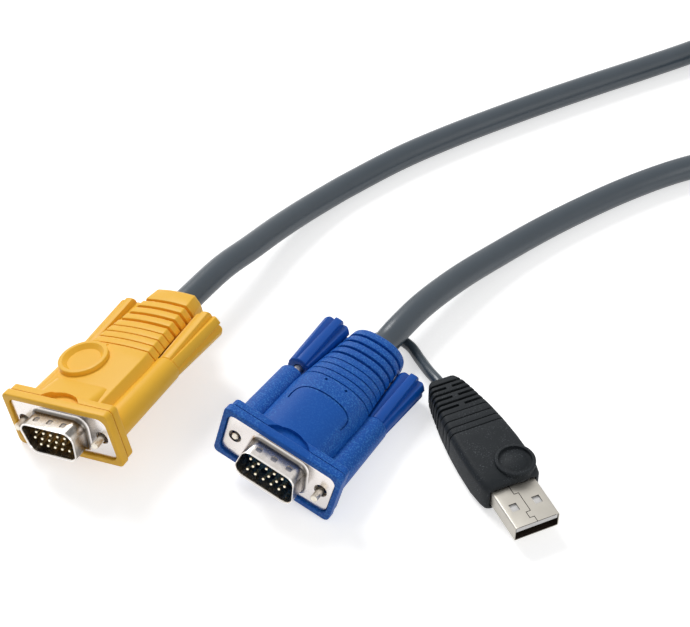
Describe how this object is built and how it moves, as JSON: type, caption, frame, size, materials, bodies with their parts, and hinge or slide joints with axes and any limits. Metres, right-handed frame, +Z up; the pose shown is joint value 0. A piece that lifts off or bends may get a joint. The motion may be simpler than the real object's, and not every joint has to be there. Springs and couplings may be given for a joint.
{
  "type": "kvm cable",
  "caption": "Switch cable with a three-row video plug with thumbscrews at each end and a USB plug on a short lead; spare cord in a tied coil.",
  "frame": {"origin": "on the table, below the centre of the box around the three plugs, without the cords and the coil", "axes": "+X to the right along the row of plugs, +Y away from the viewer, from the plug faces towards the coil, +Z up"},
  "size_m": [0.3111, 0.2283, 0.0238],
  "materials": {
    "blue_plastic": "fine matt texture",
    "yellow_plastic": "satin",
    "black_rubber": "satin",
    "grey_cord": "satin",
    "nickel": "bright plated",
    "steel": "plain",
    "gold_contact": "flash plated",
    "navy_insulator": "satin",
    "brown_insulator": "satin",
    "white_plastic": "satin",
    "natural_mould": "plain",
    "tie_black": "woven strap"
  },
  "bodies": {
    "cable": {"blue_hood": "blue_plastic", "blue_front_shell": "nickel", "blue_rear_shell": "steel", "blue_insulator": "navy_insulator", "blue_inner_mould": "natural_mould", "blue_pin_01": "gold_contact", "blue_pin_02": "gold_contact", "blue_pin_03": "gold_contact", "blue_pin_04": "gold_contact", "blue_pin_05": "gold_contact", "blue_pin_06": "gold_contact", "blue_pin_07": "gold_contact", "blue_pin_08": "gold_contact", "blue_pin_10": "gold_contact", "blue_pin_11": "gold_contact", "blue_pin_12": "gold_contact", "blue_pin_13": "gold_contact", "blue_pin_14": "gold_contact", "blue_pin_15": "gold_contact", "yellow_hood": "yellow_plastic", "yellow_front_shell": "nickel", "yellow_rear_shell": "steel", "yellow_insulator": "brown_insulator", "yellow_inner_mould": "natural_mould", "yellow_pin_01": "gold_contact", "yellow_pin_02": "gold_contact", "yellow_pin_03": "gold_contact", "yellow_pin_04": "gold_contact", "yellow_pin_05": "gold_contact", "yellow_pin_06": "gold_contact", "yellow_pin_07": "gold_contact", "yellow_pin_08": "gold_contact", "yellow_pin_09": "gold_contact", "yellow_pin_10": "gold_contact", "yellow_pin_11": "gold_contact", "yellow_pin_12": "gold_contact", "yellow_pin_13": "gold_contact", "yellow_pin_14": "gold_contact", "yellow_pin_15": "gold_contact", "usb_boot": "black_rubber", "usb_shell": "nickel", "usb_tongue": "white_plastic", "usb_inner_mould": "natural_mould", "usb_contact_1": "gold_contact", "usb_contact_2": "gold_contact", "usb_contact_3": "gold_contact", "usb_contact_4": "gold_contact", "cord_blue_side": "grey_cord", "cord_coil": "grey_cord", "cord_yellow_side": "grey_cord", "coil_tie": "tie_black", "usb_lead": "grey_cord"},
    "blue_screw_left_body": {"blue_screw_left": "steel"},
    "blue_grip_left_body": {"blue_grip_left": "blue_plastic"},
    "blue_screw_right_body": {"blue_screw_right": "steel"},
    "blue_grip_right_body": {"blue_grip_right": "blue_plastic"},
    "yellow_screw_left_body": {"yellow_screw_left": "steel"},
    "yellow_grip_left_body": {"yellow_grip_left": "yellow_plastic"},
    "yellow_screw_right_body": {"yellow_screw_right": "steel"},
    "yellow_grip_right_body": {"yellow_grip_right": "yellow_plastic"}
  },
  "joints": [
    {"name": "blue_screw_left_slide", "type": "slide", "parent": "cable", "child": "blue_screw_left_body", "axis": [0.5023, 0.8596, -0.0941], "range_m": [-0.0031, 0.0003]},
    {"name": "blue_grip_left_spin", "type": "hinge", "parent": "blue_screw_left_body", "child": "blue_grip_left_body", "pos_m": [0.00566, 0.01086, 0.01122], "axis": [0.5023, 0.8596, -0.0941], "continuous": true},
    {"name": "blue_screw_right_slide", "type": "slide", "parent": "cable", "child": "blue_screw_right_body", "axis": [0.5023, 0.8596, -0.0941], "range_m": [0, 0.0034]},
    {"name": "blue_grip_right_spin", "type": "hinge", "parent": "blue_screw_right_body", "child": "blue_grip_right_body", "pos_m": [0.02648, -0.00189, 0.00588], "axis": [0.5023, 0.8596, -0.0941], "continuous": true},
    {"name": "yellow_screw_left_slide", "type": "slide", "parent": "cable", "child": "yellow_screw_left_body", "axis": [0.4998, 0.8657, -0.0279], "range_m": [0, 0.0034]},
    {"name": "yellow_grip_left_spin", "type": "hinge", "parent": "yellow_screw_left_body", "child": "yellow_grip_left_body", "pos_m": [-0.04741, 0.02143, 0.00785], "axis": [0.4998, 0.8657, -0.0279], "continuous": true},
    {"name": "yellow_screw_right_slide", "type": "slide", "parent": "cable", "child": "yellow_screw_right_body", "axis": [0.4998, 0.8657, -0.0279], "range_m": [0, 0.0034]},
    {"name": "yellow_grip_right_spin", "type": "hinge", "parent": "yellow_screw_right_body", "child": "yellow_grip_right_body", "pos_m": [-0.0264, 0.00951, 0.01427], "axis": [0.4998, 0.8657, -0.0279], "continuous": true}
  ]
}
